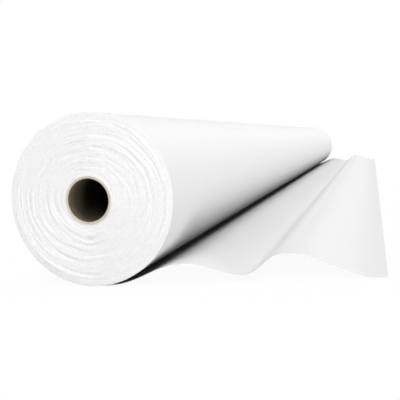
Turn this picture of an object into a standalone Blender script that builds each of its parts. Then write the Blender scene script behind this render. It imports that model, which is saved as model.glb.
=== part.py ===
"""A roll of white geotextile on a paper core, lying on the ground with its free end pulled out.

Metres, +Z up. The roll lies along Y. The origin is on the ground under the middle of the roll's axis, and the free
end of the web runs out towards +X. The front end of the roll is the one at -Y.
"""

import math

import bpy
from mathutils import Vector

# The roll
HALF_LENGTH = 2.25  # from the middle of the roll to each end, so the web is made twice this wide
ROLL_RADIUS = 0.155  # largest radius of the winding
WEB_THICKNESS = 0.0012  # one layer of the web, lying free
FOOT_DEPTH = 0.0005  # how far the roll's own weight flattens it where it lies on the ground

# The core, a paper tube of three kinds of ply
BORE_RADIUS = 0.038  # the clear bore that a lifting bar goes through
LINER_THICKNESS = 0.0008  # smooth inner ply
WALL_THICKNESS = 0.0029  # the grey board plies that carry the load
WRAP_THICKNESS = 0.0007  # outer kraft ply
CORE_PROUD = 0.001  # how far the core stands out of the winding at each end
CORE_FACETS = 48

# The patches of tape that hold the web's first edge to the core
PATCH_COUNT = 5
PATCH_WIDTH = 0.05  # along the roll
PATCH_LENGTH = 0.04  # round the core
PATCH_THICKNESS = 0.0003
PATCH_INSET = 0.15  # from the winding's end to the middle of the first patch
PATCH_STEPS = 6

# The winding: each loop stands for a bundle of real turns, and its first and last turns thin to a single web
LOOP_COUNT = 24
LOOP_POINTS = 24
LAST_LOOP_POINTS = 48  # the outermost loop is the one that shows, and the one that the roll lies on
LOOP_GAP = 0.0005
LEAVE_ANGLE = math.radians(11.25)  # past the lowest point, where the last loop ends over the free web

# The free end: the web lifts off the ground twice, in two long waves, and lies flat at its cut edge. Each run is
# measured along the ground, from the place before it.
FIRST_CLIMB = 0.1405  # from the roll to the first crest
FIRST_FALL = 0.096  # to the dip between the waves
SECOND_CLIMB = 0.079  # to the second crest
SECOND_FALL = 0.142  # to where the web lies down again
FLAT_END = 0.014  # to the cut edge
FIRST_RISE = 0.033  # underside of the first crest
DIP_RISE = 0.0107  # underside of the dip, which doesn't reach the ground
SECOND_RISE = 0.0451  # underside of the second crest
NIP_THICKNESS = 0.0003  # where the web is pressed thin between the roll and the ground
NIP_STEPS = 4
WAVE_STEPS = 12  # straight pieces in each climb or fall

# Clearances
FIT_GAP = 0.0003  # between pieces that touch
TURN_GAP = 0.0004  # between the turning roll and the free web under it


def outside(radius, step_angle):
    """The corner radius at which a faceted face, with corners that far apart, stays outside a round of that radius."""
    return radius / math.cos(step_angle / 2)


AXIS_HEIGHT = ROLL_RADIUS - FOOT_DEPTH
LINER_OUTER = BORE_RADIUS + LINER_THICKNESS
WALL_INNER = LINER_OUTER + FIT_GAP
WALL_OUTER = WALL_INNER + WALL_THICKNESS
WRAP_INNER = WALL_OUTER + FIT_GAP
CORE_RADIUS = WRAP_INNER + WRAP_THICKNESS
CORE_HALF_LENGTH = HALF_LENGTH + CORE_PROUD
PATCH_INNER = CORE_RADIUS + FIT_GAP
PATCH_STEP_ANGLE = PATCH_LENGTH / PATCH_INNER / PATCH_STEPS
PATCH_OUTER = outside(PATCH_INNER + PATCH_THICKNESS, PATCH_STEP_ANGLE)
WINDING_INNER = outside(PATCH_OUTER + FIT_GAP, math.tau / LOOP_POINTS)
WINDING_BUILD = ROLL_RADIUS - WINDING_INNER
LOOP_PITCH = (WINDING_BUILD - 2 * WEB_THICKNESS - LOOP_GAP) / (LOOP_COUNT - 1)
BUNDLE_THICKNESS = LOOP_PITCH - LOOP_GAP
END_ANGLE = math.radians(270) + LEAVE_ANGLE

PALE_WHITE = (0.88, 0.88, 0.88)
BOARD_GREY = (0.62, 0.57, 0.49)
KRAFT = (0.74, 0.67, 0.55)
TAPE_CREAM = (0.85, 0.82, 0.70)


def clear_scene():
    """Removes every object that the scene starts with."""
    for obj in list(bpy.data.objects):
        bpy.data.objects.remove(obj, do_unlink=True)


def new_collection(name):
    """A collection linked to the scene."""
    collection = bpy.data.collections.new(name)
    bpy.context.scene.collection.children.link(collection)
    return collection


def new_material(name, colour, roughness):
    """A plain, non-metallic material."""
    material = bpy.data.materials.new(name)
    material.use_nodes = True
    shader = material.node_tree.nodes["Principled BSDF"]
    shader.inputs["Base Color"].default_value = (*colour, 1.0)
    shader.inputs["Roughness"].default_value = roughness
    shader.inputs["Metallic"].default_value = 0.0
    return material


def place(obj, collection, material, parent=None):
    """Puts a finished object in its collection, gives it its material and hangs it on its parent."""
    collection.objects.link(obj)
    obj.data.materials.append(material)
    obj.parent = parent
    return obj


def extruded(name, outlines, half_length):
    """Flat outlines of (x, z) points, filled and drawn out along Y to both sides of their own origin.

    An outline that lies inside another is a hole in it.
    """
    curve = bpy.data.curves.new(name, "CURVE")
    curve.dimensions = "2D"
    curve.fill_mode = "BOTH"
    curve.extrude = half_length
    for outline in outlines:
        spline = curve.splines.new("POLY")
        spline.points.add(len(outline) - 1)
        for point, (x, z) in zip(spline.points, outline):
            point.co = (x, z, 0, 1)
        spline.use_cyclic_u = True
    obj = bpy.data.objects.new(name, curve)
    obj.rotation_euler = (math.pi / 2, 0, 0)
    return obj


def on_circle(radius, angle):
    """A point at that radius and angle round the roll's axis, the angle counted from +X towards +Z."""
    return (radius * math.cos(angle), radius * math.sin(angle))


def core_tube(name, inner_radius, outer_radius):
    """One of the core's plies, a plain tube along Y."""
    angles = [math.tau * step / CORE_FACETS for step in range(CORE_FACETS)]
    outlines = [[on_circle(radius, angle) for angle in angles] for radius in (outer_radius, inner_radius)]
    return extruded(name, outlines, CORE_HALF_LENGTH)


def bundle_thickness(turn):
    """The winding's thickness after so many turns: one web at both ends, and a full bundle between."""
    from_end = min(turn, LOOP_COUNT - turn, 1)
    return WEB_THICKNESS + (BUNDLE_THICKNESS - WEB_THICKNESS) * from_end


def inner_face(turn):
    """Radius of the winding's inner face: on the core in the first turn, and then on the turn below it."""
    if turn < 1:
        return WINDING_INNER + (WEB_THICKNESS + LOOP_GAP) * turn
    return outer_face(turn - 1) + LOOP_GAP


def outer_face(turn):
    """Radius of the winding's outer face."""
    return inner_face(turn) + bundle_thickness(turn)


def winding_faces():
    """The inner and outer faces of the winding, as points round the roll's axis from the core outwards."""
    turns = [i / LOOP_POINTS for i in range((LOOP_COUNT - 1) * LOOP_POINTS)]
    turns += [LOOP_COUNT - 1 + i / LAST_LOOP_POINTS for i in range(LAST_LOOP_POINTS + 1)]
    inner = []
    outer = []
    for turn in turns:
        angle = END_ANGLE - math.tau * (LOOP_COUNT - turn)
        inner.append(on_circle(inner_face(turn), angle))
        x, z = on_circle(outer_face(turn), angle)
        outer.append((x, max(z, -AXIS_HEIGHT)))
    return inner, outer


def distance_to_stretch(point, start, end):
    """How far a point is from the straight stretch between two others."""
    point, start, end = Vector(point), Vector(start), Vector(end)
    along = end - start
    share = max(0.0, min(1.0, (point - start).dot(along) / along.length_squared))
    return (point - start - along * share).length


def least_gap(inner, outer):
    """The smallest distance from the winding's outer face to its inner face half a turn or more further on."""
    gaps = []
    for i, point in enumerate(outer):
        first = i + LOOP_POINTS // 2
        last = min(first + 2 * LAST_LOOP_POINTS, len(inner) - 1)
        gaps += [distance_to_stretch(point, inner[k], inner[k + 1]) for k in range(first, last)]
    return min(gaps)


def wound_web():
    """The winding: one unbroken strip from the core to where the web leaves the roll."""
    inner, outer = winding_faces()
    print(f"wound_web: {LOOP_COUNT} loops, least gap to itself {least_gap(inner, outer) * 1000:.2f} mm")
    return extruded("wound_web", [inner + outer[::-1]], HALF_LENGTH)


def start_patch(name):
    """One patch of double-sided tape, curved round the core under the web's first edge."""
    angles = [END_ANGLE + PATCH_STEP_ANGLE * step for step in range(PATCH_STEPS + 1)]
    inner = [on_circle(outside(PATCH_INNER, PATCH_STEP_ANGLE), angle) for angle in angles]
    outer = [on_circle(PATCH_OUTER, angle) for angle in angles]
    return extruded(name, [inner + outer[::-1]], PATCH_WIDTH / 2)


def clear_of_roll(height):
    """How far from the axis, along the ground, a thing of that height stays clear of the turning roll."""
    return math.sqrt((ROLL_RADIUS + TURN_GAP) ** 2 - (AXIS_HEIGHT - height) ** 2)


def eased(low, high, share):
    """A value between two others that leaves the first and meets the second without a kink."""
    return low + (high - low) * (1 - math.cos(math.pi * share)) / 2


def wave_underside():
    """The underside of the free web: a climb and a fall for each wave, then the flat end."""
    x = clear_of_roll(WEB_THICKNESS)
    rise = 0.0
    line = []
    runs = ((FIRST_CLIMB, FIRST_RISE), (FIRST_FALL, DIP_RISE), (SECOND_CLIMB, SECOND_RISE), (SECOND_FALL, 0.0))
    for run, next_rise in runs:
        for step in range(WAVE_STEPS):
            share = step / WAVE_STEPS
            line.append((x + run * share, eased(rise, next_rise, share)))
        x += run
        rise = next_rise
    return [*line, (x, rise), (x + FLAT_END, rise)]


def upper_side(underside):
    """The line one web above the underside, square to it at each point."""
    upper = []
    for i, (x, z) in enumerate(underside):
        before = Vector(underside[max(i - 1, 0)])
        after = Vector(underside[min(i + 1, len(underside) - 1)])
        along = (after - before).normalized()
        upper.append((x - along.y * WEB_THICKNESS, z + along.x * WEB_THICKNESS))
    return upper


def free_web():
    """The free end of the web, from the thin edge pressed under the roll to the cut edge on the ground."""
    nip_heights = [eased(NIP_THICKNESS, WEB_THICKNESS, step / NIP_STEPS) for step in range(NIP_STEPS)]
    nip = [(clear_of_roll(height), height) for height in nip_heights]
    underside = wave_underside()
    outline = [(nip[0][0], 0.0), *underside, *upper_side(underside)[::-1], *nip[::-1]]
    return extruded("free_web", [outline], HALF_LENGTH)


def build():
    """Makes the whole thing: the roll on its axis, and the free web on the ground."""
    clear_scene()
    collection = new_collection("geotextile_roll")
    web_finish = new_material("nonwoven_white", PALE_WHITE, 0.95)
    board_finish = new_material("core_board", BOARD_GREY, 0.9)
    kraft_finish = new_material("core_kraft", KRAFT, 0.85)
    tape_finish = new_material("start_tape", TAPE_CREAM, 0.5)

    roll_axis = bpy.data.objects.new("roll_axis", None)
    roll_axis.location = (0, 0, AXIS_HEIGHT)
    collection.objects.link(roll_axis)

    place(core_tube("core_liner", BORE_RADIUS, LINER_OUTER), collection, kraft_finish, roll_axis)
    place(core_tube("core_wall", WALL_INNER, WALL_OUTER), collection, board_finish, roll_axis)
    place(core_tube("core_wrap", WRAP_INNER, CORE_RADIUS), collection, kraft_finish, roll_axis)

    first_patch = PATCH_INSET - HALF_LENGTH
    spacing = -2 * first_patch / (PATCH_COUNT - 1)
    for number in range(PATCH_COUNT):
        patch = place(start_patch(f"start_tape_{number + 1}"), collection, tape_finish, roll_axis)
        patch.location.y = first_patch + spacing * number

    place(wound_web(), collection, web_finish, roll_axis)
    place(free_web(), collection, web_finish)


build()
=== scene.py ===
"""The looks of a roll of white geotextile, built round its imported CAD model.

Metres, +Z up. The roll lies along Y with its front end at -Y. The origin is on the ground under the middle
of the roll's axis, and the free end of the web runs out towards +X.
"""

from __future__ import annotations

import logging
import math
from collections.abc import Callable, Iterable, Sequence
from dataclasses import dataclass, replace
from enum import Enum

import bmesh
import bpy
from mathutils import Matrix, Vector, noise

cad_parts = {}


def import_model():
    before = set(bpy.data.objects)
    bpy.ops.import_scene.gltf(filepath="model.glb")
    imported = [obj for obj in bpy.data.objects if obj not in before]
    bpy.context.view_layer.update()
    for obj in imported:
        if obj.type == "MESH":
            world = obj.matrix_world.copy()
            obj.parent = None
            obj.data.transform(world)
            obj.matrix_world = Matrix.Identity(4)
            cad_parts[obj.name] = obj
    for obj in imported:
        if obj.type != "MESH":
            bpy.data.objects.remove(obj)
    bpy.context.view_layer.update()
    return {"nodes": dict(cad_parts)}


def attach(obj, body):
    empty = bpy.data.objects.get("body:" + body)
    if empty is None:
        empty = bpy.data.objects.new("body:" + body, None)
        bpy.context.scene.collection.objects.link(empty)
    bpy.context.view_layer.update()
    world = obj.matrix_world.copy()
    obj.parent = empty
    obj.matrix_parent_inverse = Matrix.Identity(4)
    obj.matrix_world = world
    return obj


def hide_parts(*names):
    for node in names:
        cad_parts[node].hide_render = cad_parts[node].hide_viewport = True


LOG = logging.getLogger("geotextile_roll")
MERGE_DISTANCE = 1e-7  # corners of a mesh that are closer than this become one
CUT_TOLERANCE = 1e-6  # corners this close to a cutting plane count as on it

Colour = tuple[float, float, float]


# Sizes that more than one piece needs


@dataclass(frozen=True)
class RollSizes:
    """The roll's own sizes, in metres, as in the CAD model."""

    half_length: float = 2.25  # from the middle of the roll to each end of the winding
    radius: float = 0.155  # the winding's largest
    foot_depth: float = 0.0005  # how far the roll's own weight flattens it on the ground
    core_proud: float = 0.001  # how far the core stands out of the winding at each end
    web_thickness: float = 0.0012  # of one layer, lying free
    roll_gap: float = 0.0004  # between the turning roll and the free web under it

    @property
    def axis_height(self) -> float:
        """Height of the roll's axis over the ground."""
        return self.radius - self.foot_depth


class RollEnd(Enum):
    """The two ends of the roll, by the side of the origin that they are on along Y."""

    FRONT = -1
    REAR = 1


class Body(Enum):
    """The CAD bodies that the pieces ride on."""

    ROLL = "roll"
    LAID_WEB = "laid_web"


class Slot(Enum):
    """The material slots."""

    WEB = "nonwoven_white"
    BOARD = "core_board"
    KRAFT = "core_kraft"


def smoothstep(low: float, high: float, value: float) -> float:
    """A share that rises smoothly from 0 at low to 1 at high."""
    share = min(1.0, max(0.0, (value - low) / (high - low)))
    return share * share * (3 - 2 * share)


def eased(low: float, high: float, share: float, bend: float = 0.5) -> float:
    """A value between two others that leaves the first and meets the second without a kink.

    Args:
        low: The first value.
        high: The second value.
        share: How far along the way, from 0 to 1.
        bend: The share of the way over which each end curves. The rest, between them, is straight.

    Returns:
        The value there.
    """
    curved = 2 * bend / math.pi
    steepest = 1 / (2 * curved + 1 - 2 * bend)
    near = min(share, 1 - share)
    if near < bend:
        gone = steepest * curved * (1 - math.cos(near / curved))
    else:
        gone = steepest * (curved + near - bend)
    return low + (high - low) * (gone if share <= 0.5 else 1 - gone)


# Turning meshes into pieces


def shade(mesh: bmesh.types.BMesh, crease: float) -> None:
    """Shades a mesh smooth, apart from the edges that are sharper than the crease angle.

    Args:
        mesh: The mesh to shade.
        crease: The angle between two faces, in radians, past which their edge stays sharp.
    """
    for face in mesh.faces:
        face.smooth = True
    for edge in mesh.edges:
        edge.smooth = edge.is_manifold and edge.calc_face_angle(0.0) < crease


def wound_strip(columns: int, rows: int, place: Callable[[int, int], Vector]) -> bmesh.types.BMesh:
    """A long strip of web or paper, made flat as a grid and then wound, with its section closed.

    Args:
        columns: Steps along the strip.
        rows: Sides of the strip's section.
        place: Where the corner of each column and row goes. The last row lies on the first.

    Returns:
        The strip, open at its two ends. Its faces are in order along the strip, side after side.
    """
    mesh = bmesh.new()
    bmesh.ops.create_grid(mesh, x_segments=columns, y_segments=rows, size=0.5)
    for vert in mesh.verts:
        vert.co = place(round((vert.co.x + 0.5) * columns), round((vert.co.y + 0.5) * rows))
    return mesh


def close_strip(mesh: bmesh.types.BMesh) -> None:
    """Joins a wound strip's last row to its first, closes its ends and turns its faces outwards.

    Args:
        mesh: The strip.
    """
    bmesh.ops.remove_doubles(mesh, verts=mesh.verts, dist=MERGE_DISTANCE)
    bmesh.ops.holes_fill(mesh, edges=[edge for edge in mesh.edges if edge.is_boundary], sides=0)
    bmesh.ops.recalc_face_normals(mesh, faces=mesh.faces)


def make_piece(
    name: str,
    mesh: bmesh.types.BMesh,
    material: bpy.types.Material,
    body: Body,
    slot: Slot,
    replaced: str,
) -> bpy.types.Object:
    """Finishes a mesh as a piece of the roll, at the origin and riding on its body.

    Args:
        name: The piece's name.
        mesh: Its mesh, in place. It is freed here.
        material: Its finish.
        body: The CAD body that it rides on.
        slot: The material slot that its finish comes from. Not used.
        replaced: The CAD node that it stands for.

    Returns:
        The new object.
    """
    data = bpy.data.meshes.new(name)
    mesh.to_mesh(data)
    mesh.free()
    data.materials.append(material)
    obj = bpy.data.objects.new(name, data)
    bpy.context.scene.collection.objects.link(obj)
    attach(obj, body.value)
    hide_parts(replaced)
    return obj


# Shader groups and finishes


class NodeSheet:
    """A node tree with short calls for adding and joining its nodes."""

    def __init__(self, tree: bpy.types.NodeTree) -> None:
        """Keeps the tree."""
        self.tree = tree

    def add(self, kind: str, settings: dict[str, object] | None = None, **inputs: object) -> bpy.types.Node:
        """Adds a node.

        Args:
            kind: Blender's name for the type of node.
            settings: The node's own properties.
            **inputs: Its sockets' values, or the outputs to join to them, by name with _ for a space.

        Returns:
            The node.
        """
        node = self.tree.nodes.new(kind)
        for key, value in (settings or {}).items():
            setattr(node, key, value)
        for key, value in inputs.items():
            self.set(node.inputs[key.replace("_", " ")], value)
        return node

    def set(self, socket: bpy.types.NodeSocket, value: object) -> None:
        """Joins an output to a socket, or gives the socket its value.

        Args:
            socket: The socket, an input of a node.
            value: Another node's output, or a plain value.
        """
        if isinstance(value, bpy.types.NodeSocket):
            self.tree.links.new(value, socket)
        else:
            socket.default_value = value

    def _step(self, kind: str, operation: str, values: Sequence[object]) -> bpy.types.NodeSocket:
        """Adds one step of arithmetic.

        Args:
            kind: Blender's name for the type of node.
            operation: Its name for the step.
            values: What it works on, in order.

        Returns:
            The result.
        """
        node = self.add(kind, {"operation": operation})
        for socket, value in zip(node.inputs, values):
            self.set(socket, value)
        return node.outputs[0]

    def math(self, operation: str, first: object, second: object = 0.0) -> bpy.types.NodeSocket:
        """One step of arithmetic on two numbers."""
        return self._step("ShaderNodeMath", operation, (first, second))

    def vector(self, operation: str, first: object, second: object) -> bpy.types.NodeSocket:
        """One step of arithmetic on two vectors."""
        return self._step("ShaderNodeVectorMath", operation, (first, second))

    def scaled(self, vector: object, scale: object) -> bpy.types.NodeSocket:
        """A colour or vector times a number."""
        node = self.add("ShaderNodeVectorMath", {"operation": "SCALE"}, Vector=vector, Scale=scale)
        return node.outputs[0]

    def noise(self, vector: object, scale: object, detail: float) -> bpy.types.NodeSocket:
        """Smooth noise from -0.5 to 0.5."""
        node = self.add("ShaderNodeTexNoise", None, Vector=vector, Scale=scale, Detail=detail)
        return self.math("SUBTRACT", node.outputs["Fac"], 0.5)


@dataclass(frozen=True)
class FibreGroup:
    """The look of laid fibres: clouds of thick and thin places, lines along the machine, and the fibres.

    The nonwoven web, the core's paper and the tapes all use it, with their own values.
    """

    name: str = "laid_fibres"
    inputs: tuple[tuple[str, str], ...] = (
        ("Vector", "NodeSocketVector"),
        ("Colour", "NodeSocketColor"),
        ("Stretch", "NodeSocketVector"),
        ("Cloud Size", "NodeSocketFloat"),
        ("Cloud", "NodeSocketFloat"),
        ("Line", "NodeSocketFloat"),
        ("Fibre Size", "NodeSocketFloat"),
        ("Fibre", "NodeSocketFloat"),
    )
    outputs: tuple[tuple[str, str], ...] = (
        ("Colour", "NodeSocketColor"),
        ("Roughness", "NodeSocketFloat"),
        ("Height", "NodeSocketFloat"),
    )
    cloud_detail: float = 3.0
    fibre_detail: float = 2.0
    roughness: float = 0.9  # of a place of average colour
    smoothing: float = 1.5  # how much less rough a lighter place is
    cloud_height: float = 1.5  # how high the clouds stand, against the fibres
    line_height: float = 2.0  # how high the lines stand, against the fibres

    def tree(self) -> bpy.types.NodeTree:
        """The group's tree, built the first time that it is asked for."""
        return bpy.data.node_groups.get(self.name) or self._build()

    def _build(self) -> bpy.types.NodeTree:
        """Builds the group.

        Returns:
            Its tree.
        """
        tree = bpy.data.node_groups.new(self.name, "ShaderNodeTree")
        for label, kind in self.inputs:
            tree.interface.new_socket(label, in_out="INPUT", socket_type=kind)
        for label, kind in self.outputs:
            tree.interface.new_socket(label, in_out="OUTPUT", socket_type=kind)
        given, made = tree.nodes.new("NodeGroupInput"), tree.nodes.new("NodeGroupOutput")
        sheet = NodeSheet(tree)
        place = given.outputs["Vector"]
        stretched = sheet.vector("MULTIPLY", place, given.outputs["Stretch"])
        cloud = sheet.noise(place, given.outputs["Cloud Size"], self.cloud_detail)
        line = sheet.noise(stretched, 1.0, self.fibre_detail)
        fibre = sheet.noise(place, given.outputs["Fibre Size"], self.fibre_detail)
        clouded = sheet.math("MULTIPLY", cloud, given.outputs["Cloud"])
        lined = sheet.math("MULTIPLY", line, given.outputs["Line"])
        fibred = sheet.math("MULTIPLY", fibre, given.outputs["Fibre"])
        change = sheet.math("ADD", sheet.math("ADD", clouded, lined), fibred)
        colour = sheet.scaled(given.outputs["Colour"], sheet.math("ADD", change, 1.0))
        smoothed = sheet.math("MULTIPLY", change, self.smoothing)
        height = sheet.math("ADD", fibre, sheet.math("MULTIPLY", cloud, self.cloud_height))
        height = sheet.math("ADD", height, sheet.math("MULTIPLY", line, self.line_height))
        sheet.set(made.inputs["Colour"], colour)
        sheet.set(made.inputs["Roughness"], sheet.math("SUBTRACT", self.roughness, smoothed))
        sheet.set(made.inputs["Height"], height)
        return tree


@dataclass(frozen=True)
class FibreFinish:
    """A finish of laid fibres: felt, board, kraft paper or tape.

    Clouds, lines and fibres are counted to a metre, so a larger number is a finer pattern.
    """

    name: str
    colour: Colour
    stretch: tuple[float, float, float]  # of the lines, along each axis
    cloud_size: float
    cloud: float  # how much the clouds change the colour
    line: float  # how much the lines change it
    fibre_size: float
    fibre: float  # how much the fibres change it
    bump_height: float  # of the relief, in metres
    bump_strength: float = 0.5
    specular: float = 0.2
    end_cloud: float | None = None  # how much the clouds change it on the cut edges at the roll's ends
    # Painted shade: below 1, the colour darkens away from the roll's ends, standing in for the shade deep in
    # the bore.
    painted_shade_share: float = 1.0  # the share of the colour that is left away from the roll's ends
    end_start: float = 2.2425  # where along Y the change towards an end starts
    end_full: float = 2.2440  # where along Y it is complete
    given_back: float = 1.0  # the share of the colour that lights other surfaces; less than all of it keeps the shade between the roll and the web deep

    def material(self) -> bpy.types.Material:
        """The finish as a material, built once."""
        return bpy.data.materials.get(self.name) or self._build()

    def _build(self) -> bpy.types.Material:
        """Builds the material from the shared fibre group.

        Returns:
            The material.
        """
        made = bpy.data.materials.new(self.name)
        made.use_nodes = True
        sheet = NodeSheet(made.node_tree)
        place = sheet.add("ShaderNodeTexCoord").outputs["Object"]
        cloud: object = self.cloud
        if self.end_cloud is not None:
            cloud = self._towards_end(sheet, place, self.cloud, self.end_cloud)
        group = sheet.add(
            "ShaderNodeGroup",
            {"node_tree": FibreGroup().tree()},
            Vector=place,
            Colour=(*self.colour, 1.0),
            Stretch=self.stretch,
            Cloud_Size=self.cloud_size,
            Cloud=cloud,
            Line=self.line,
            Fibre_Size=self.fibre_size,
            Fibre=self.fibre,
        )
        bump = sheet.add(
            "ShaderNodeBump",
            None,
            Height=group.outputs["Height"],
            Strength=self.bump_strength,
            Distance=self.bump_height,
        )
        colour = group.outputs["Colour"]
        # Painted shade: darker away from the roll's ends, for the shade deep in the bore.
        if self.painted_shade_share < 1:
            colour = sheet.scaled(colour, self._towards_end(sheet, place, self.painted_shade_share, 1.0))
        # Only the light that the felt sends onto other surfaces is dimmed, which deepens their shade. The
        # camera sees the full colour.
        if self.given_back < 1:
            colour = sheet.scaled(colour, self._shown_share(sheet))
        shader = made.node_tree.nodes["Principled BSDF"]
        sheet.set(shader.inputs["Base Color"], colour)
        sheet.set(shader.inputs["Roughness"], group.outputs["Roughness"])
        sheet.set(shader.inputs["Normal"], bump.outputs["Normal"])
        shader.inputs["Specular IOR Level"].default_value = self.specular
        return made

    def _shown_share(self, sheet: NodeSheet) -> bpy.types.NodeSocket:
        """The share of the colour that shows, all of it but where other surfaces are lit by it."""
        lit_by_it = sheet.add("ShaderNodeLightPath").outputs["Is Diffuse Ray"]
        return sheet.math("SUBTRACT", 1.0, sheet.math("MULTIPLY", lit_by_it, 1 - self.given_back))

    def _towards_end(
        self, sheet: NodeSheet, place: bpy.types.NodeSocket, away: float, near: float
    ) -> bpy.types.NodeSocket:
        """A value that changes towards the roll's ends.

        Args:
            sheet: The material's sheet.
            place: Object coordinates.
            away: The value along the roll.
            near: The value at its ends.

        Returns:
            The value.
        """
        along = sheet.math("ABSOLUTE", sheet.add("ShaderNodeSeparateXYZ", None, Vector=place).outputs["Y"])
        ranged = sheet.add(
            "ShaderNodeMapRange",
            None,
            Value=along,
            From_Min=self.end_start,
            From_Max=self.end_full,
            To_Min=away,
            To_Max=near,
        )
        return ranged.outputs["Result"]


NONWOVEN = FibreFinish(
    name="nonwoven_felt",
    colour=(0.90, 0.90, 0.90),
    stretch=(3.0, 60.0, 3.0),
    cloud_size=160.0,
    cloud=0.04,
    line=0.02,
    fibre_size=1100.0,
    fibre=0.05,
    bump_height=0.0003,
    specular=0.0,
    given_back=0.38,
)
WOUND_NONWOVEN = replace(NONWOVEN, name="nonwoven_felt_wound", cloud_size=260.0, end_cloud=0.24)
BOARD = FibreFinish(
    name="core_board_plies",
    colour=(0.63, 0.585, 0.50),
    stretch=(60.0, 60.0, 60.0),
    cloud_size=220.0,
    cloud=0.12,
    line=0.08,
    fibre_size=1500.0,
    fibre=0.12,
    bump_height=0.0002,
)
KRAFT = FibreFinish(
    name="core_kraft_paper",
    colour=(0.76, 0.72, 0.63),
    stretch=(20.0, 200.0, 20.0),
    cloud_size=120.0,
    cloud=0.08,
    line=0.05,
    fibre_size=1400.0,
    fibre=0.08,
    bump_height=0.0001,
)
# The liner darkens away from the roll's ends, which is painted shade deep in the bore. Its dark colour is
# partly painted shade too.
LINER = replace(
    KRAFT,
    name="core_liner_paper",
    colour=(0.165, 0.132, 0.091),
    cloud_size=90.0,
    cloud=0.15,
    line=0.08,
    fibre=0.10,
    painted_shade_share=0.40,
    end_start=2.226,
    end_full=2.251,
)
TAPE = FibreFinish(
    name="start_tape_cream",
    colour=(0.80, 0.76, 0.62),
    stretch=(200.0, 20.0, 200.0),
    cloud_size=80.0,
    cloud=0.04,
    line=0.02,
    fibre_size=600.0,
    fibre=0.03,
    bump_height=0.00005,
    specular=0.4,
)


# The form of the winding's two ends


@dataclass(frozen=True)
class RingNoise:
    """Unevenness of the turns' edges that runs round the face in broken rings."""

    height: float
    width: float  # of a ring
    round_count: float  # of uneven places round the face

    def at(self, radius: float, angle: float, seed: float) -> float:
        """The unevenness at a place on the face.

        Args:
            radius: Distance from the roll's axis.
            angle: Angle round it.
            seed: A number that makes each end its own pattern.

        Returns:
            How far the edge is set back, in metres.
        """
        around = self.round_count / math.tau
        across, up = around * math.cos(angle), around * math.sin(angle)
        return self.height * noise.noise(Vector((radius / self.width + seed, across + seed, up)))


@dataclass(frozen=True)
class PulledTurn:
    """Turns whose edges were pulled in a little in the winding, a line round part of the face."""

    start: float  # angle where the line starts, in degrees from +X over the top
    sweep: float  # how far round it goes, in degrees
    first: float  # its radius at the start
    last: float  # its radius at the end
    depth: float = 0.0002  # how far the edges are pulled in
    width: float = 0.0020  # half the width of the line

    def at(self, radius: float, angle: float) -> float:
        """How far the edge is set back at a place on the face.

        Args:
            radius: Distance from the roll's axis.
            angle: Angle round it.

        Returns:
            The distance, in metres.
        """
        share = ((math.degrees(angle) - self.start) % 360) / self.sweep
        if share >= 1:
            return 0.0
        away = (radius - self.first - (self.last - self.first) * share) / self.width
        return self.depth * math.sqrt(math.sin(math.pi * share)) * math.exp(-away * away)


@dataclass(frozen=True)
class StartFold:
    """The folded start of the web, a wedge under the core, with the turns that arch over it."""

    angle: float = math.radians(-95)  # where it is round the core
    height: float = 0.016  # how far it pushes the turns over it outwards
    spread: float = math.radians(50)  # how far to each side the turns leave their circle
    full: float = 0.007  # how far out from the first turn the push is complete
    fade: float = 0.034  # how soon the turns farther out come back to their circle
    blunt_first: float = 0.02  # how blunt the arch's peak is at the first turn, in radians
    blunt_added: float = 0.25  # how much blunter it gets on the way out
    blunt_radius: float = 0.1  # where it is at its bluntest
    base: float = 0.0433  # radius that the wedge stands on
    tip: float = 0.064  # radius that its tip reaches to
    steepness: float = 1.1  # of its two sides
    slope: float = 0.055  # how much more it stands proud of the face, for each metre outwards
    edge: float = 0.012  # how far in from its sides it rises to that

    def push(self, radius: float, angle: float, first_radius: float) -> float:
        """How far the fold pushes a turn over it outwards.

        Args:
            radius: The turn's radius without it.
            angle: Angle round the core.
            first_radius: Radius of the first turn.

        Returns:
            The distance, in metres.
        """
        blunt = self.blunt_first + self.blunt_added * smoothstep(first_radius, self.blunt_radius, radius)
        away = math.hypot(math.remainder(angle - self.angle, math.tau), blunt)
        if away >= self.spread:
            return 0.0
        wedge = 1 / math.cos(self.spread - away) - 1
        peak = 1 / math.cos(self.spread) - 1
        beyond = radius - first_radius - self.full
        growth = smoothstep(-self.full, 0.0, beyond) if beyond < 0 else math.exp(-beyond / self.fade)
        return self.height * growth * wedge / peak

    def proud(self, radius: float, angle: float) -> float:
        """How far the wedge stands proud of the edges round it.

        Args:
            radius: Distance from the roll's axis.
            angle: Angle round it.

        Returns:
            The distance, in metres, 0 outside the wedge.
        """
        across, down = radius * math.cos(angle), -radius * math.sin(angle)
        inside = self.tip - self.steepness * abs(across) - down
        return self.slope * max(0.0, down - self.base) * smoothstep(0.0, self.edge, inside)


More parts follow.
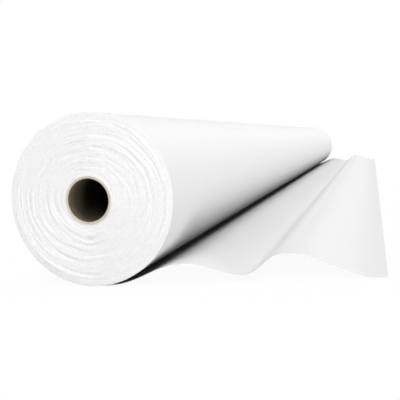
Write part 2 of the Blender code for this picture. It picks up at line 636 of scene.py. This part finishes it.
@dataclass(frozen=True)
class EndForm:
    """How far the web's edges are set back from the roll's ends: a shallow bulge, never quite even."""

    inset: float = 0.0004  # of the turns at the core
    bulge_start: float = 0.0018  # how fast the set-back grows at first on the way out
    bulge_growth: float = 0.0023  # how much faster it grows towards the rim
    skew: float = 0.0025  # how far both ends lean towards the rear at the rim, at the skew's angle
    skew_angle: float = math.radians(65)
    shoulder_width: float = 0.018  # how far in from the rim the edges fall away
    shoulder_depth: float = 0.0003  # how far they fall at the rim
    low_shoulder_depth: float = 0.0013  # how much more they fall across from the skew's angle
    flush_width: float = 0.012  # how far in from the rim the edges lie more evenly
    flush_share: float = 0.2  # the share of the unevenness that is left at the rim
    oval: float = 0.006  # how far the rings are from round, halfway out
    front_seed: float = 17.3
    rear_seed: float = 61.9
    rear_turn: float = math.radians(137)  # how far the pulled turns are turned at the rear end
    rings: tuple[RingNoise, ...] = (
        RingNoise(height=0.0007, width=0.007, round_count=10.0),
        RingNoise(height=0.00031, width=0.0028, round_count=26.0),
        RingNoise(height=0.00025, width=0.0011, round_count=50.0),
    )
    pulled: tuple[PulledTurn, ...] = (
        PulledTurn(start=28, sweep=130, first=0.0985, last=0.0855, depth=0.0003),
        PulledTurn(start=-25, sweep=85, first=0.1200, last=0.1120, depth=0.00025),
        PulledTurn(start=-10, sweep=75, first=0.1365, last=0.1335, depth=0.00008),
        PulledTurn(start=90, sweep=75, first=0.1330, last=0.1270, depth=0.00015),
        PulledTurn(start=198, sweep=95, first=0.1310, last=0.1340, depth=0.00025),
        PulledTurn(start=205, sweep=80, first=0.1110, last=0.1150),
        PulledTurn(start=215, sweep=65, first=0.0920, last=0.0900, depth=0.00025),
        PulledTurn(start=210, sweep=70, first=0.0850, last=0.0790),
    )

    def set_back(self, radius: float, angle: float, first_radius: float, rim: float, end: RollEnd) -> float:
        """How far an edge of the web is set back from the roll's end.

        Args:
            radius: Distance from the roll's axis.
            angle: Angle round it.
            first_radius: Radius of the first turn.
            rim: Radius of the last.
            end: Which end it is at.

        Returns:
            The distance, in metres.
        """
        share = min(1.0, (radius - first_radius) / (rim - first_radius))
        from_rim = rim - radius
        facing = math.cos(angle - self.skew_angle)
        bulge = (self.bulge_start + self.bulge_growth * share) * share
        lean = -end.value * self.skew * share * facing
        fall = self.shoulder_depth + self.low_shoulder_depth * max(0.0, -facing) ** 2
        shoulder = fall * max(0.0, 1 - from_rim / self.shoulder_width) ** 2
        front = end is RollEnd.FRONT
        seed, turned = (self.front_seed, 0.0) if front else (self.rear_seed, self.rear_turn)
        oval_radius = radius - self.oval * math.sin(math.pi * share) * math.cos(2 * angle)
        uneven = sum(ring.at(oval_radius, angle, seed) for ring in self.rings)
        uneven += sum(line.at(radius, angle + turned) for line in self.pulled)
        loose = self.flush_share + (1 - self.flush_share) * smoothstep(0.0, self.flush_width, from_rim)
        return self.inset + bulge + lean + shoulder + loose * uneven


# The winding


@dataclass(frozen=True)
class RimPoint:
    """One corner of the wound web's section."""

    end: RollEnd  # at which end of the roll it is
    depth: float  # how far out through the web, from 0 to 1
    proud: float  # its share of the crown of the cut edge


@dataclass
class WoundWeb:
    """The winding: one unbroken strip of web from the core to the line where it leaves the roll."""

    sizes: RollSizes
    fold: StartFold = StartFold()
    ends: EndForm = EndForm()
    turns: int = 104
    layer_gap: float = 0.00007  # between one turn and the next
    first_radius: float = 0.04375  # that the turns' inner face winds out from
    seat_radius: float = 0.0433  # of the first turn's inner face, round the core
    leave_angle: float = math.radians(281.25)  # where the web leaves the roll
    step_outside: float = math.radians(2.4)  # each straight piece's sweep in the last turn
    step_inside: float = math.radians(5.0)  # and in the first
    crown: float = 0.00012  # how far the middle of the cut edge stands out
    tape_lift: float = 0.0006  # how far the first turn is lifted off the core, over the tapes
    tape_start: float = 0.05  # how far in from each end it is lifted in full
    crease_angle: float = math.radians(40)
    side_cuts: int = 59
    side_sink: float = 0.00025  # how far the outermost face sinks here and there
    side_wave_across: float = 2.2  # how fine the sunken places are, across the roll
    side_wave_along: float = 5.0  # and along it

    @property
    def rim(self) -> tuple[RimPoint, ...]:
        """The corners of the web's section, in order, with the first repeated at the end.

        Returns:
            The corners.
        """
        edge = ((0.0, 0.0), (0.5, 1.0), (1.0, 0.0))
        front = [RimPoint(RollEnd.FRONT, depth, proud) for depth, proud in edge]
        rear = [RimPoint(RollEnd.REAR, depth, proud) for depth, proud in reversed(edge)]
        return (*front, *rear, front[0])

    @property
    def pitch(self) -> float:
        """How much each turn adds to the radius."""
        return (self.sizes.radius - self.first_radius + self.layer_gap) / (self.turns + 1)

    def _stations(self) -> list[float]:
        """Places along the web, closer together towards the outside.

        Returns:
            The places, counted in turns from the core.
        """
        places = [0.0]
        while places[-1] < self.turns:
            share = places[-1] / self.turns
            step = self.step_inside + (self.step_outside - self.step_inside) * share
            places.append(places[-1] + step / math.tau)
        scale = self.turns / places[-1]
        return [place * scale for place in places]

    def _place(self, turn: float, point: RimPoint) -> Vector:
        """Where a corner of the web's section is.

        Args:
            turn: How many turns from the core.
            point: The corner.

        Returns:
            Its place, no lower than the ground.
        """
        angle = self.leave_angle - math.tau * (self.turns - turn)
        radius = self.first_radius + self.pitch * turn + (self.pitch - self.layer_gap) * point.depth
        if turn < 1 and point.depth == 0:
            radius = self.seat_radius
        pushed = radius + self.fold.push(radius, angle, self.first_radius)
        back = self.ends.set_back(radius, angle, self.first_radius, self.sizes.radius, point.end)
        back -= self.fold.proud(radius, angle) + self.crown * point.proud
        height = max(0.0, self.sizes.axis_height + pushed * math.sin(angle))
        return Vector((pushed * math.cos(angle), point.end.value * (self.sizes.half_length - back), height))

    def _cut_and_shift(
        self,
        mesh: bmesh.types.BMesh,
        faces: Sequence[bmesh.types.BMFace],
        cuts: Iterable[float],
        shift: Callable[[Vector, float], float],
    ) -> None:
        """Cuts faces that are as long as the roll across, and moves the new corners in or out.

        Args:
            mesh: The winding's mesh.
            faces: The faces.
            cuts: Where along Y to cut.
            shift: How far outwards a new corner goes, by its direction from the axis and its place along Y.
        """
        edges = dict.fromkeys(edge for face in faces for edge in face.edges)
        verts = dict.fromkeys(vert for face in faces for vert in face.verts)
        geometry = [*faces, *edges, *verts]
        for y in cuts:
            cut = bmesh.ops.bisect_plane(
                mesh, geom=geometry, dist=CUT_TOLERANCE, plane_co=(0, y, 0), plane_no=(0, 1, 0)
            )
            geometry = cut["geom"]
            for vert in (v for v in cut["geom_cut"] if isinstance(v, bmesh.types.BMVert)):
                outwards = Vector((vert.co.x, 0, vert.co.z - self.sizes.axis_height)).normalized()
                vert.co += outwards * shift(outwards, vert.co.y)
                vert.co.z = max(0.0, vert.co.z)

    def _lift_over_tapes(self, mesh: bmesh.types.BMesh, faces: Sequence[bmesh.types.BMFace]) -> None:
        """Lifts the middle of the first turn's inner face off the core, to make room for the start tapes."""
        cuts = [end.value * (self.sizes.half_length - self.tape_start) for end in RollEnd]
        self._cut_and_shift(mesh, faces, cuts, lambda outwards, y: self.tape_lift)

    def _roughen_side(self, mesh: bmesh.types.BMesh, faces: Sequence[bmesh.types.BMFace]) -> None:
        """Lets the outermost face of the winding sink a little here and there.

        Args:
            mesh: The winding's mesh.
            faces: The faces that lie outermost.
        """
        spacing = 2 * self.sizes.half_length / (self.side_cuts + 1)
        cuts = [spacing * (number + 1) - self.sizes.half_length for number in range(self.side_cuts)]
        across, along = self.side_wave_across, self.side_wave_along

        def sink(outwards: Vector, y: float) -> float:
            """How far outwards a corner goes, by its direction from the axis and its place along Y."""
            wave = noise.noise(Vector((outwards.x * across, y * along, outwards.z * across)))
            return -self.side_sink * (0.5 + 0.5 * wave)

        self._cut_and_shift(mesh, faces, cuts, sink)

    def build(self) -> bpy.types.Object:
        """Winds the web and finishes it as a piece.

        Returns:
            The winding.
        """
        stations, rim = self._stations(), self.rim
        columns, rows = len(stations) - 1, len(rim) - 1
        mesh = wound_strip(columns, rows, lambda column, row: self._place(stations[column], rim[row]))
        mesh.faces.ensure_lookup_table()
        outer_row = next(i for i, point in enumerate(rim) if point.end is RollEnd.REAR) - 1
        first_turn = next(i for i, turn in enumerate(stations) if turn >= 1) - 1
        last_turn = next(i for i, turn in enumerate(stations) if turn > self.turns - 1)
        outer_faces = [mesh.faces[outer_row * columns + column] for column in range(last_turn, columns)]
        inner_faces = [mesh.faces[(rows - 1) * columns + column] for column in range(first_turn)]
        self._lift_over_tapes(mesh, inner_faces)
        self._roughen_side(mesh, outer_faces)
        close_strip(mesh)
        shade(mesh, self.crease_angle)
        return make_piece("winding", mesh, WOUND_NONWOVEN.material(), Body.ROLL, Slot.WEB, "wound_web")


# The free end of the web


@dataclass(frozen=True)
class WaveRun:
    """One climb or fall of the free web."""

    length: float  # along the ground
    rise: float  # of the web's underside at its end
    steps: int  # straight pieces that it is made of
    bend: float = 0.5  # the share of it over which each end curves


@dataclass(frozen=True)
class Ripple:
    """Unevenness of the free web's waves."""

    height: float
    across: float  # how fine it is, across the roll
    along: float  # how fine it is, along the roll
    seed: float

    def at(self, x: float, y: float) -> float:
        """How far the web stands off its even wave at a place."""
        return self.height * noise.noise(Vector((x * self.across, y * self.along, self.seed)))


@dataclass(frozen=True)
class SectionPoint:
    """A point of the free web's underside, with the web's thickness there."""

    x: float
    height: float
    thickness: float


@dataclass
class FreeWeb:
    """The free end of the web, lying on the ground in two long waves."""

    sizes: RollSizes
    runs: tuple[WaveRun, ...] = (
        WaveRun(length=0.1379, rise=0.0341, steps=32),
        WaveRun(length=0.1028, rise=0.0108, steps=28),
        WaveRun(length=0.0672, rise=0.0447, steps=24),
        WaveRun(length=0.0122, rise=0.0439, steps=4),
        WaveRun(length=0.1374, rise=0.0, steps=34, bend=0.35),
        WaveRun(length=0.0140, rise=0.0, steps=5),
    )
    ripples: tuple[Ripple, ...] = (
        Ripple(height=0.0007, across=14.0, along=1.6, seed=3.1),
        Ripple(height=0.00028, across=40.0, along=7.0, seed=8.4),
    )
    ripple_start: float = 0.001  # height over the ground from which the web is uneven
    ripple_full: float = 0.02  # height from which it is at its most uneven
    nip_thickness: float = 0.0003  # of the web where it is pressed between the roll and the ground
    nip_steps: int = 5
    cross_rows: int = 90
    crease_angle: float = math.radians(50)

    def _clear_of_roll(self, height: float) -> float:
        """How far from the axis, along the ground, a thing of that height stays clear of the turning roll."""
        reach = self.sizes.radius + self.sizes.roll_gap
        return math.sqrt(reach**2 - (self.sizes.axis_height - height) ** 2)

    def _section(self) -> list[SectionPoint]:
        """The web's section, from under the roll to its cut edge.

        Returns:
            The section's points, in order.
        """
        thickness = self.sizes.web_thickness
        points = []
        for step in range(self.nip_steps):
            pressed = eased(self.nip_thickness, thickness, step / self.nip_steps)
            points.append(SectionPoint(self._clear_of_roll(pressed), 0.0, pressed))
        x, rise = self._clear_of_roll(thickness), 0.0
        for run in self.runs:
            for step in range(run.steps):
                share = step / run.steps
                height = eased(rise, run.rise, share, run.bend)
                points.append(SectionPoint(x + run.length * share, height, thickness))
            x, rise = x + run.length, run.rise
        return [*points, SectionPoint(x, rise, thickness)]

    def _uneven(self, x: float, y: float, height: float) -> float:
        """How far the web stands off its even wave at a place, nothing where it lies on the ground."""
        lifted = smoothstep(self.ripple_start, self.ripple_full, height)
        return lifted * sum(ripple.at(x, y) for ripple in self.ripples)

    def _place(self, section: Sequence[SectionPoint], column: int, along: float, upper: float) -> Vector:
        """Where a point of the web is.

        Args:
            section: The web's section.
            column: Which of its points this one is over.
            along: Place along the roll, from -1 at the front end to 1 at the rear.
            upper: 0 on the underside and 1 on top.

        Returns:
            The point.
        """
        point = section[column]
        before, after = section[max(column - 1, 0)], section[min(column + 1, len(section) - 1)]
        slope = Vector((after.x - before.x, 0, after.height - before.height)).normalized()
        y = self.sizes.half_length * along
        underside = Vector((point.x, y, point.height + self._uneven(point.x, y, point.height)))
        return underside + Vector((-slope.z, 0, slope.x)) * point.thickness * upper

    def build(self) -> bpy.types.Object:
        """Lays the web out and finishes it as a piece.

        Returns:
            The free web.
        """
        section = self._section()
        columns, rows = len(section) - 1, self.cross_rows
        mesh = bmesh.new()
        bmesh.ops.create_grid(mesh, x_segments=columns, y_segments=rows, size=0.5)
        flat = [*mesh.verts, *mesh.edges, *mesh.faces]
        grown = bmesh.ops.extrude_face_region(mesh, geom=flat, use_keep_orig=True)
        upper = [v for v in grown["geom"] if isinstance(v, bmesh.types.BMVert)]
        bmesh.ops.translate(mesh, verts=upper, vec=(0, 0, 1))
        for vert in mesh.verts:
            column, row = round((vert.co.x + 0.5) * columns), round((vert.co.y + 0.5) * rows)
            vert.co = self._place(section, column, 2 * row / rows - 1, vert.co.z)
        bmesh.ops.recalc_face_normals(mesh, faces=mesh.faces)
        shade(mesh, self.crease_angle)
        piece = make_piece("laid_end", mesh, NONWOVEN.material(), Body.LAID_WEB, Slot.WEB, "free_web")
        cut = (2 * self.sizes.half_length, self._cut_length(section))
        LOG.info("laid_end: cut %.3f m by %.3f m", *cut)
        return piece

    def _cut_length(self, section: Sequence[SectionPoint]) -> float:
        """How long the web was cut, as its length along the waves."""
        places = [(point.x, point.height) for point in section]
        return sum(math.dist(a, b) for a, b in zip(places, places[1:]))


# The core


@dataclass(frozen=True)
class Ply:
    """One ply of the core: a strip of paper wound in a long screw line, its turns edge to edge."""

    inner: float  # radius of its inner face
    outer: float  # radius of its outer face
    lead: float  # how far along the core each turn goes
    start: float  # angle where it starts, in radians
    seam: float = 0.0005  # gap between one turn's edge and the next


@dataclass
class PaperCore:
    """The core: a spirally wound paper tube of liner, board plies and outer wrap, cut square at both ends."""

    sizes: RollSizes
    facets: int = 60
    liner: tuple[Ply, ...] = (Ply(inner=0.0380, outer=0.03875, lead=0.118, start=0.2),)
    board: tuple[Ply, ...] = (
        Ply(inner=0.0389, outer=0.03985, lead=0.120, start=1.4),
        Ply(inner=0.0399, outer=0.04085, lead=0.122, start=2.9),
        Ply(inner=0.0409, outer=0.04185, lead=0.124, start=4.1),
    )
    wrap: tuple[Ply, ...] = (Ply(inner=0.0421, outer=0.0432, lead=0.126, start=5.3),)
    crease_angle: float = math.radians(40)

    def _wind(self, ply: Ply) -> bmesh.types.BMesh:
        """Winds one ply past both ends of the core and cuts it square there.

        Args:
            ply: The ply.

        Returns:
            Its mesh, closed.
        """
        half = self.sizes.half_length + self.sizes.core_proud
        steps = self.facets * math.ceil(2 * half / ply.lead + 2)
        across = (ply.lead - ply.seam) / 2
        corners = ((ply.inner, -across), (ply.outer, -across), (ply.outer, across), (ply.inner, across))

        def place(column: int, row: int) -> Vector:
            """A corner of the ply, wound.

            Args:
                column: How many facets along the screw line it is.
                row: Which corner of the ply's section it is.

            Returns:
                Its place.
            """
            radius, aside = corners[row % len(corners)]
            turn = column / self.facets
            angle = ply.start + math.tau * turn
            y = ply.lead * (turn - 1) - half + aside
            return Vector((radius * math.cos(angle), y, self.sizes.axis_height + radius * math.sin(angle)))

        strip = wound_strip(steps, len(corners), place)
        bmesh.ops.remove_doubles(strip, verts=strip.verts, dist=MERGE_DISTANCE)
        for end in RollEnd:
            cut = bmesh.ops.bisect_plane(
                strip,
                geom=[*strip.verts, *strip.edges, *strip.faces],
                dist=MERGE_DISTANCE,
                plane_co=(0, end.value * half, 0),
                plane_no=(0, end.value, 0),
                clear_outer=True,
            )
            rim = [edge for edge in cut["geom_cut"] if isinstance(edge, bmesh.types.BMEdge)]
            bmesh.ops.holes_fill(strip, edges=rim, sides=0)
        bmesh.ops.recalc_face_normals(strip, faces=strip.faces)
        return strip

    def _part(
        self, name: str, plies: Sequence[Ply], finish: FibreFinish, slot: Slot, node: str
    ) -> bpy.types.Object:
        """Makes one kind of ply a piece.

        Args:
            name: The piece's name.
            plies: The plies of that kind.
            finish: Their finish.
            slot: The material slot for it.
            node: The CAD node that they stand for.

        Returns:
            The new object.
        """
        mesh = bmesh.new()
        for ply in plies:
            strip = self._wind(ply)
            wound = bpy.data.meshes.new("ply")
            strip.to_mesh(wound)
            strip.free()
            mesh.from_mesh(wound)
            bpy.data.meshes.remove(wound)
        shade(mesh, self.crease_angle)
        return make_piece(name, mesh, finish.material(), Body.ROLL, slot, node)

    def build(self) -> list[bpy.types.Object]:
        """Winds the three kinds of ply.

        Returns:
            The liner, the board plies and the wrap.
        """
        return [
            self._part("liner_ply", self.liner, LINER, Slot.KRAFT, "core_liner"),
            self._part("board_plies", self.board, BOARD, Slot.BOARD, "core_wall"),
            self._part("wrap_ply", self.wrap, KRAFT, Slot.KRAFT, "core_wrap"),
        ]


@dataclass
class StartTapes:
    """The patches of tape that hold the web's first edge to the core, as the CAD has them."""

    count: int = 5

    def dress(self, nodes: dict[str, bpy.types.Object]) -> list[bpy.types.Object]:
        """Gives the CAD's patches their finish.

        Args:
            nodes: The CAD's objects by name.

        Returns:
            The patches.
        """
        patches = [nodes[f"start_tape_{number}"] for number in range(1, self.count + 1)]
        for slot in (slot for patch in patches for slot in patch.material_slots):
            slot.material = TAPE.material()
        return patches


# The studio


@dataclass(frozen=True)
class SoftLight:
    """A broad, even light from far away."""

    name: str
    over: float  # degrees over the ground in the plane across the roll, from +X over the top to -X
    front: float  # degrees out of that plane towards the roll's front end
    level: float  # light on a face that is square to it; 1 shows a colour as it is written
    spread: float  # how wide it is, in degrees
    distance: float = 4.0  # of its lamp, which doesn't change its light

    def build(self) -> None:
        """Makes the light."""
        over, front = math.radians(self.over), math.radians(self.front)
        flat = math.cos(front)
        towards = Vector((math.cos(over) * flat, -math.sin(front), math.sin(over) * flat))
        data = bpy.data.lights.new(self.name, "SUN")
        data.energy = math.pi * self.level
        data.angle = math.radians(self.spread)
        data.cycles.use_multiple_importance_sampling = False
        lamp = bpy.data.objects.new(self.name, data)
        lamp.rotation_mode = "QUATERNION"
        lamp.rotation_quaternion = towards.to_track_quat("Z", "Y")
        lamp.location = towards * self.distance
        bpy.context.scene.collection.objects.link(lamp)
        LOG.info("light %s: level %.2f", self.name, self.level)


@dataclass
class Studio:
    """The camera, the lights, the pale floor and the white round it."""

    lights: tuple[SoftLight, ...] = (
        SoftLight("top", over=90, front=0, level=0.27, spread=50),
        SoftLight("top_front", over=90, front=50, level=0.70, spread=50),
        SoftLight("right", over=0, front=20, level=0.26, spread=30),
        SoftLight("floor_glow", over=-12, front=35, level=0.45, spread=20),
        SoftLight("left", over=182, front=-25, level=0.45, spread=20),
        SoftLight("rear", over=90, front=-88, level=0.68, spread=20),
    )
    sky: float = 0.15  # light of the white surround on the roll
    floor_size: float = 60.0
    floor_drop: float = 0.0002  # how far under the ground's level the floor is
    shadow_share: float = 0.05  # how much of the roll's shadow the floor shows
    shadow_half_x: float = 0.5  # how far from the origin it shows all of that, across the roll
    shadow_half_y: float = 2.3  # how far from the origin it does so along the roll
    shadow_fade: float = 0.4  # how much farther out the shadow ends
    eye: tuple[float, float, float] = (0.4863, -3.2626, 0.2291)
    eye_right: tuple[float, float, float] = (0.96115, 0.26123, -0.08919)
    eye_up: tuple[float, float, float] = (0.06401, 0.10337, 0.99258)
    eye_forward: tuple[float, float, float] = (-0.26852, 0.95972, -0.08263)
    lens: float = 56.745  # millimetres
    sensor: float = 36.0  # millimetres across
    nearest: float = 0.05  # that the camera shows
    farthest: float = 200.0  # that the camera shows

    def _camera(self) -> None:
        """Makes the camera at the photograph's viewing angle."""
        data = bpy.data.cameras.new("camera")
        data.lens, data.sensor_width = self.lens, self.sensor
        data.clip_start, data.clip_end = self.nearest, self.farthest
        camera = bpy.data.objects.new("camera", data)
        back = -Vector(self.eye_forward)
        turn = Matrix((self.eye_right, self.eye_up, back)).transposed()
        camera.matrix_world = Matrix.Translation(self.eye) @ turn.to_4x4()
        bpy.context.scene.collection.objects.link(camera)
        bpy.context.scene.camera = camera

    def _seen_directly(self, sheet: NodeSheet) -> bpy.types.NodeSocket:
        """1 for what the camera, a gloss or clear material sees, and 0 for the light that falls on surfaces.

        Args:
            sheet: The sheet that the test is part of.

        Returns:
            The test's output.
        """
        path = sheet.add("ShaderNodeLightPath")
        seen = sheet.math("MAXIMUM", path.outputs["Is Camera Ray"], path.outputs["Is Glossy Ray"])
        return sheet.math("MAXIMUM", seen, path.outputs["Is Transmission Ray"])

    def _world(self) -> None:
        """Makes the white surround, which lights the roll only a little."""
        world = bpy.data.worlds.new("white_surround")
        world.use_nodes = True
        sheet = NodeSheet(world.node_tree)
        background = world.node_tree.nodes["Background"]
        background.inputs["Color"].default_value = (1.0, 1.0, 1.0, 1.0)
        seen = self._seen_directly(sheet)
        lit = sheet.math("MULTIPLY", sheet.math("SUBTRACT", 1.0, seen), self.sky)
        sheet.set(background.inputs["Strength"], sheet.math("ADD", seen, lit))
        bpy.context.scene.world = world

    def _floor_material(self) -> bpy.types.Material:
        """A pale floor that shows a little of the roll's shadow and turns to plain white away from it.

        Returns:
            The material.
        """
        made = bpy.data.materials.new("pale_floor")
        made.use_nodes = True
        sheet = NodeSheet(made.node_tree)
        tree = made.node_tree
        matt = tree.nodes["Principled BSDF"]
        matt.inputs["Base Color"].default_value = (1.0, 1.0, 1.0, 1.0)
        matt.inputs["Roughness"].default_value = 1.0
        matt.inputs["Specular IOR Level"].default_value = 0.0
        white = sheet.add("ShaderNodeEmission", None, Color=(1.0, 1.0, 1.0, 1.0), Strength=1.0)
        coordinates = sheet.add("ShaderNodeTexCoord").outputs["Object"]
        place = sheet.add("ShaderNodeSeparateXYZ", None, Vector=coordinates)
        away_x = sheet.math("SUBTRACT", sheet.math("ABSOLUTE", place.outputs["X"]), self.shadow_half_x)
        away_y = sheet.math("SUBTRACT", sheet.math("ABSOLUTE", place.outputs["Y"]), self.shadow_half_y)
        away = sheet.math("MAXIMUM", sheet.math("MAXIMUM", away_x, away_y), 0.0)
        faded = sheet.math("DIVIDE", away, self.shadow_fade)
        near = sheet.math("MAXIMUM", sheet.math("SUBTRACT", 1.0, faded), 0.0)
        shown = sheet.math("MULTIPLY", near, self.shadow_share)
        plain = sheet.math("MULTIPLY", self._seen_directly(sheet), sheet.math("SUBTRACT", 1.0, shown))
        mix = sheet.add("ShaderNodeMixShader", None, Fac=plain)
        tree.links.new(matt.outputs[0], mix.inputs[1])
        tree.links.new(white.outputs[0], mix.inputs[2])
        tree.links.new(mix.outputs[0], tree.nodes["Material Output"].inputs["Surface"])
        return made

    def _floor(self) -> None:
        """Lays the floor, which neither blocks the lights nor sends light to the roll."""
        mesh = bmesh.new()
        bmesh.ops.create_grid(mesh, x_segments=1, y_segments=1, size=self.floor_size / 2)
        bmesh.ops.translate(mesh, verts=mesh.verts, vec=(0, 0, -self.floor_drop))
        data = bpy.data.meshes.new("floor")
        mesh.to_mesh(data)
        mesh.free()
        data.materials.append(self._floor_material())
        floor = bpy.data.objects.new("floor", data)
        floor.visible_shadow = False
        floor.visible_diffuse = False
        bpy.context.scene.collection.objects.link(floor)

    def build(self) -> None:
        """Makes the whole studio."""
        self._camera()
        self._world()
        self._floor()
        for light in self.lights:
            light.build()
        bpy.context.scene.view_settings.view_transform = "Standard"


def main() -> None:
    """Builds the studio and the roll, and reports each piece."""
    logging.basicConfig(level=logging.INFO, format="%(name)s %(message)s")
    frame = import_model()
    sizes = RollSizes()
    Studio().build()
    pieces = [WoundWeb(sizes).build(), FreeWeb(sizes).build(), *PaperCore(sizes).build()]
    pieces += StartTapes().dress(frame["nodes"])
    for piece in pieces:
        triangles = sum(len(polygon.vertices) - 2 for polygon in piece.data.polygons)
        LOG.info("%s: %d triangles", piece.name, triangles)


if __name__ == "__main__":
    main()
